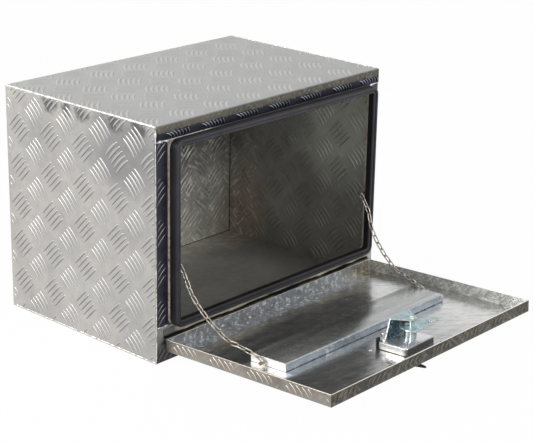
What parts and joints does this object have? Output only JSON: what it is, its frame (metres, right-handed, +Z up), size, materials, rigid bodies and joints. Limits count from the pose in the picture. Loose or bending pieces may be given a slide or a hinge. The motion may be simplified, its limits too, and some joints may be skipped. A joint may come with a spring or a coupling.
{
  "type": "transport box",
  "caption": "Tread plate aluminium box with a drop-down door, rubber door seal, two door chains and a turning lock with a folding handle.",
  "frame": {"origin": "centre of the box's underside, without the open door", "axes": "+Z up, the door opens towards -Y, +X to the right seen from the front"},
  "size_m": [0.62, 0.8099, 0.45],
  "materials": {
    "tread_plate": "mill finish tread plate",
    "plain_aluminium": "plain folded sheet",
    "black_rubber": "extruded rubber",
    "zinc_plate": "blue zinc plated steel",
    "pale_steel": "plated steel wire and screws",
    "black_lacquer": "black lacquered casting"
  },
  "bodies": {
    "box": {"top_panel": "tread_plate", "bottom_panel": "tread_plate", "left_panel": "tread_plate", "right_panel": "tread_plate", "back_panel": "tread_plate", "opening_lip": "plain_aluminium", "lip_seal": "black_rubber", "hinge_leaf_box": "plain_aluminium", "hinge_pin": "pale_steel", "left_eye_screw": "pale_steel", "right_eye_screw": "pale_steel"},
    "door": {"door_pan": "tread_plate", "hinge_leaf_door": "plain_aluminium", "door_channel": "plain_aluminium", "lock_dish": "plain_aluminium", "dish_gasket": "black_rubber", "rubber_stop": "black_rubber", "left_door_screw": "pale_steel", "right_door_screw": "pale_steel"},
    "latch": {"lock_spindle": "pale_steel", "latch_cam": "zinc_plate", "rod_bracket": "zinc_plate", "spacer_sleeve": "zinc_plate", "spindle_nut": "zinc_plate"},
    "handle": {"t_handle": "black_lacquer"},
    "key": {"key_cylinder": "pale_steel"},
    "left_link_01": {"left_link_01": "pale_steel"},
    "left_link_02": {"left_link_02": "pale_steel"},
    "left_link_03": {"left_link_03": "pale_steel"},
    "left_link_04": {"left_link_04": "pale_steel"},
    "left_link_05": {"left_link_05": "pale_steel"},
    "left_link_06": {"left_link_06": "pale_steel"},
    "left_link_07": {"left_link_07": "pale_steel"},
    "left_link_08": {"left_link_08": "pale_steel"},
    "left_link_09": {"left_link_09": "pale_steel"},
    "left_link_10": {"left_link_10": "pale_steel"},
    "left_link_11": {"left_link_11": "pale_steel"},
    "left_link_12": {"left_link_12": "pale_steel"},
    "left_link_13": {"left_link_13": "pale_steel"},
    "left_link_14": {"left_link_14": "pale_steel"},
    "left_link_15": {"left_link_15": "pale_steel"},
    "left_link_16": {"left_link_16": "pale_steel"},
    "left_link_17": {"left_link_17": "pale_steel"},
    "right_link_01": {"right_link_01": "pale_steel"},
    "right_link_02": {"right_link_02": "pale_steel"},
    "right_link_03": {"right_link_03": "pale_steel"},
    "right_link_04": {"right_link_04": "pale_steel"},
    "right_link_05": {"right_link_05": "pale_steel"},
    "right_link_06": {"right_link_06": "pale_steel"},
    "right_link_07": {"right_link_07": "pale_steel"},
    "right_link_08": {"right_link_08": "pale_steel"},
    "right_link_09": {"right_link_09": "pale_steel"},
    "right_link_10": {"right_link_10": "pale_steel"},
    "right_link_11": {"right_link_11": "pale_steel"},
    "right_link_12": {"right_link_12": "pale_steel"},
    "right_link_13": {"right_link_13": "pale_steel"},
    "right_link_14": {"right_link_14": "pale_steel"},
    "right_link_15": {"right_link_15": "pale_steel"},
    "right_link_16": {"right_link_16": "pale_steel"},
    "right_link_17": {"right_link_17": "pale_steel"}
  },
  "joints": [
    {"name": "door_hinge", "type": "hinge", "parent": "box", "child": "door", "pos_m": [0, -0.2081, 0.0472], "axis": [-1, 0, 0], "range_deg": [0, 87]},
    {"name": "handle_turn", "type": "hinge", "parent": "door", "child": "latch", "pos_m": [0.012, -0.53026, 0.06408], "axis": [0, -0.0523, -0.9986], "range_deg": [-22, 68]},
    {"name": "handle_fold", "type": "hinge", "parent": "latch", "child": "handle", "pos_m": [0.012, -0.53115, 0.04711], "axis": [0, 0.9986, -0.0523], "range_deg": [0, 57]},
    {"name": "key_turn", "type": "hinge", "parent": "handle", "child": "key", "pos_m": [0.012, -0.53324, 0.00716], "axis": [0, -0.0523, -0.9986], "range_deg": [0, 90]},
    {"name": "left_link_01_swing", "type": "hinge", "parent": "box", "child": "left_link_01", "pos_m": [-0.2628, -0.2075, 0.197], "axis": [-1, 0, 0], "range_deg": [0, 21.2]},
    {"name": "left_link_02_swing", "type": "hinge", "parent": "left_link_01", "child": "left_link_02", "pos_m": [-0.26244, -0.21524, 0.18777], "axis": [-1, 0, 0], "range_deg": [-43.7, 0]},
    {"name": "left_link_03_swing", "type": "hinge", "parent": "left_link_02", "child": "left_link_03", "pos_m": [-0.26188, -0.22591, 0.17254], "axis": [-1, 0, 0], "range_deg": [-44.7, 0]},
    {"name": "left_link_04_swing", "type": "hinge", "parent": "left_link_03", "child": "left_link_04", "pos_m": [-0.2615, -0.23191, 0.16125], "axis": [-1, 0, 0], "range_deg": [-29.8, 0]},
    {"name": "left_link_05_swing", "type": "hinge", "parent": "left_link_04", "child": "left_link_05", "pos_m": [-0.25917, -0.23822, 0.14391], "axis": [-1, 0, 0], "range_deg": [0, 29.7]},
    {"name": "left_link_06_swing", "type": "hinge", "parent": "left_link_05", "child": "left_link_06", "pos_m": [-0.25757, -0.24359, 0.1324], "axis": [-1, 0, 0], "range_deg": [0, 57.4]},
    {"name": "left_link_07_swing", "type": "hinge", "parent": "left_link_06", "child": "left_link_07", "pos_m": [-0.25525, -0.25444, 0.11747], "axis": [-1, 0, 0], "range_deg": [0, 60]},
    {"name": "left_link_08_swing", "type": "hinge", "parent": "left_link_07", "child": "left_link_08", "pos_m": [-0.25365, -0.26294, 0.10803], "axis": [-1, 0, 0], "range_deg": [0, 46.5]},
    {"name": "left_link_09_swing", "type": "hinge", "parent": "left_link_08", "child": "left_link_09", "pos_m": [-0.25132, -0.27621, 0.09521], "axis": [-1, 0, 0], "range_deg": [0, 23.6]},
    {"name": "left_link_10_swing", "type": "hinge", "parent": "left_link_09", "child": "left_link_10", "pos_m": [-0.24972, -0.28608, 0.08722], "axis": [-1, 0, 0], "range_deg": [0, 4.5]},
    {"name": "left_link_11_swing", "type": "hinge", "parent": "left_link_10", "child": "left_link_11", "pos_m": [-0.2474, -0.30101, 0.07637], "axis": [-1, 0, 0], "range_deg": [-6.1, 0]},
    {"name": "left_link_12_swing", "type": "hinge", "parent": "left_link_11", "child": "left_link_12", "pos_m": [-0.2458, -0.31141, 0.06909], "axis": [-1, 0, 0], "range_deg": [0, 13]},
    {"name": "left_link_13_swing", "type": "hinge", "parent": "left_link_12", "child": "left_link_13", "pos_m": [-0.24347, -0.32814, 0.06129], "axis": [-1, 0, 0], "range_deg": [0, 89.8]},
    {"name": "left_link_14_swing", "type": "hinge", "parent": "left_link_13", "child": "left_link_14", "pos_m": [-0.24187, -0.34082, 0.06062], "axis": [-1, 0, 0], "range_deg": [-80.5, 0]},
    {"name": "left_link_15_swing", "type": "hinge", "parent": "left_link_14", "child": "left_link_15", "pos_m": [-0.23955, -0.35887, 0.05679], "axis": [-1, 0, 0], "range_deg": [-66.9, 0]},
    {"name": "left_link_16_swing", "type": "hinge", "parent": "left_link_15", "child": "left_link_16", "pos_m": [-0.23795, -0.37124, 0.05393], "axis": [-1, 0, 0], "range_deg": [-26.4, 0]},
    {"name": "left_link_17_swing", "type": "hinge", "parent": "door", "child": "left_link_17", "pos_m": [-0.23411, -0.39942, 0.04321], "axis": [-1, 0, 0], "range_deg": [-44, 0]},
    {"name": "right_link_01_swing", "type": "hinge", "parent": "box", "child": "right_link_01", "pos_m": [0.2628, -0.2075, 0.197], "axis": [-1, 0, 0], "range_deg": [0, 21.2]},
    {"name": "right_link_02_swing", "type": "hinge", "parent": "right_link_01", "child": "right_link_02", "pos_m": [0.26248, -0.21524, 0.18777], "axis": [-1, 0, 0], "range_deg": [-43.7, 0]},
    {"name": "right_link_03_swing", "type": "hinge", "parent": "right_link_02", "child": "right_link_03", "pos_m": [0.26198, -0.22591, 0.17254], "axis": [-1, 0, 0], "range_deg": [-44.7, 0]},
    {"name": "right_link_04_swing", "type": "hinge", "parent": "right_link_03", "child": "right_link_04", "pos_m": [0.26163, -0.23192, 0.16124], "axis": [-1, 0, 0], "range_deg": [-29.8, 0]},
    {"name": "right_link_05_swing", "type": "hinge", "parent": "right_link_04", "child": "right_link_05", "pos_m": [0.25955, -0.23824, 0.14388], "axis": [-1, 0, 0], "range_deg": [0, 29.7]},
    {"name": "right_link_06_swing", "type": "hinge", "parent": "right_link_05", "child": "right_link_06", "pos_m": [0.25812, -0.24361, 0.13235], "axis": [-1, 0, 0], "range_deg": [0, 57.4]},
    {"name": "right_link_07_swing", "type": "hinge", "parent": "right_link_06", "child": "right_link_07", "pos_m": [0.25604, -0.25448, 0.11739], "axis": [-1, 0, 0], "range_deg": [0, 60]},
    {"name": "right_link_08_swing", "type": "hinge", "parent": "right_link_07", "child": "right_link_08", "pos_m": [0.2546, -0.26299, 0.10794], "axis": [-1, 0, 0], "range_deg": [0, 46.5]},
    {"name": "right_link_09_swing", "type": "hinge", "parent": "right_link_08", "child": "right_link_09", "pos_m": [0.25252, -0.27628, 0.0951], "axis": [-1, 0, 0], "range_deg": [0, 23.6]},
    {"name": "right_link_10_swing", "type": "hinge", "parent": "right_link_09", "child": "right_link_10", "pos_m": [0.25109, -0.28617, 0.0871], "axis": [-1, 0, 0], "range_deg": [0, 4.5]},
    {"name": "right_link_11_swing", "type": "hinge", "parent": "right_link_10", "child": "right_link_11", "pos_m": [0.24901, -0.30112, 0.07623], "axis": [-1, 0, 0], "range_deg": [-6.1, 0]},
    {"name": "right_link_12_swing", "type": "hinge", "parent": "right_link_11", "child": "right_link_12", "pos_m": [0.24757, -0.31154, 0.06894], "axis": [-1, 0, 0], "range_deg": [0, 13]},
    {"name": "right_link_13_swing", "type": "hinge", "parent": "right_link_12", "child": "right_link_13", "pos_m": [0.24549, -0.32829, 0.06113], "axis": [-1, 0, 0], "range_deg": [0, 89.8]},
    {"name": "right_link_14_swing", "type": "hinge", "parent": "right_link_13", "child": "right_link_14", "pos_m": [0.24406, -0.34099, 0.06046], "axis": [-1, 0, 0], "range_deg": [-80.5, 0]},
    {"name": "right_link_15_swing", "type": "hinge", "parent": "right_link_14", "child": "right_link_15", "pos_m": [0.24198, -0.35907, 0.05662], "axis": [-1, 0, 0], "range_deg": [-66.9, 0]},
    {"name": "right_link_16_swing", "type": "hinge", "parent": "right_link_15", "child": "right_link_16", "pos_m": [0.24055, -0.37147, 0.05376], "axis": [-1, 0, 0], "range_deg": [-26.4, 0]},
    {"name": "right_link_17_swing", "type": "hinge", "parent": "door", "child": "right_link_17", "pos_m": [0.23711, -0.39942, 0.04321], "axis": [-1, 0, 0], "range_deg": [-44, 0]}
  ],
  "couplings": [
    {"joint": "left_link_01_swing", "follows": "door_hinge", "ratio": 0.243},
    {"joint": "left_link_02_swing", "follows": "door_hinge", "ratio": -0.502},
    {"joint": "left_link_03_swing", "follows": "door_hinge", "ratio": -0.513},
    {"joint": "left_link_04_swing", "follows": "door_hinge", "ratio": -0.342},
    {"joint": "left_link_05_swing", "follows": "door_hinge", "ratio": 0.341},
    {"joint": "left_link_06_swing", "follows": "door_hinge", "ratio": 0.659},
    {"joint": "left_link_07_swing", "follows": "door_hinge", "ratio": 0.689},
    {"joint": "left_link_08_swing", "follows": "door_hinge", "ratio": 0.534},
    {"joint": "left_link_09_swing", "follows": "door_hinge", "ratio": 0.271},
    {"joint": "left_link_10_swing", "follows": "door_hinge", "ratio": 0.051},
    {"joint": "left_link_11_swing", "follows": "door_hinge", "ratio": -0.07},
    {"joint": "left_link_12_swing", "follows": "door_hinge", "ratio": 0.149},
    {"joint": "left_link_13_swing", "follows": "door_hinge", "ratio": 1.032},
    {"joint": "left_link_14_swing", "follows": "door_hinge", "ratio": -0.925},
    {"joint": "left_link_15_swing", "follows": "door_hinge", "ratio": -0.768},
    {"joint": "left_link_16_swing", "follows": "door_hinge", "ratio": -0.303},
    {"joint": "left_link_17_swing", "follows": "door_hinge", "ratio": -0.505},
    {"joint": "right_link_01_swing", "follows": "door_hinge", "ratio": 0.243},
    {"joint": "right_link_02_swing", "follows": "door_hinge", "ratio": -0.502},
    {"joint": "right_link_03_swing", "follows": "door_hinge", "ratio": -0.513},
    {"joint": "right_link_04_swing", "follows": "door_hinge", "ratio": -0.342},
    {"joint": "right_link_05_swing", "follows": "door_hinge", "ratio": 0.341},
    {"joint": "right_link_06_swing", "follows": "door_hinge", "ratio": 0.659},
    {"joint": "right_link_07_swing", "follows": "door_hinge", "ratio": 0.689},
    {"joint": "right_link_08_swing", "follows": "door_hinge", "ratio": 0.534},
    {"joint": "right_link_09_swing", "follows": "door_hinge", "ratio": 0.271},
    {"joint": "right_link_10_swing", "follows": "door_hinge", "ratio": 0.051},
    {"joint": "right_link_11_swing", "follows": "door_hinge", "ratio": -0.07},
    {"joint": "right_link_12_swing", "follows": "door_hinge", "ratio": 0.149},
    {"joint": "right_link_13_swing", "follows": "door_hinge", "ratio": 1.032},
    {"joint": "right_link_14_swing", "follows": "door_hinge", "ratio": -0.925},
    {"joint": "right_link_15_swing", "follows": "door_hinge", "ratio": -0.768},
    {"joint": "right_link_16_swing", "follows": "door_hinge", "ratio": -0.303},
    {"joint": "right_link_17_swing", "follows": "door_hinge", "ratio": -0.505}
  ]
}
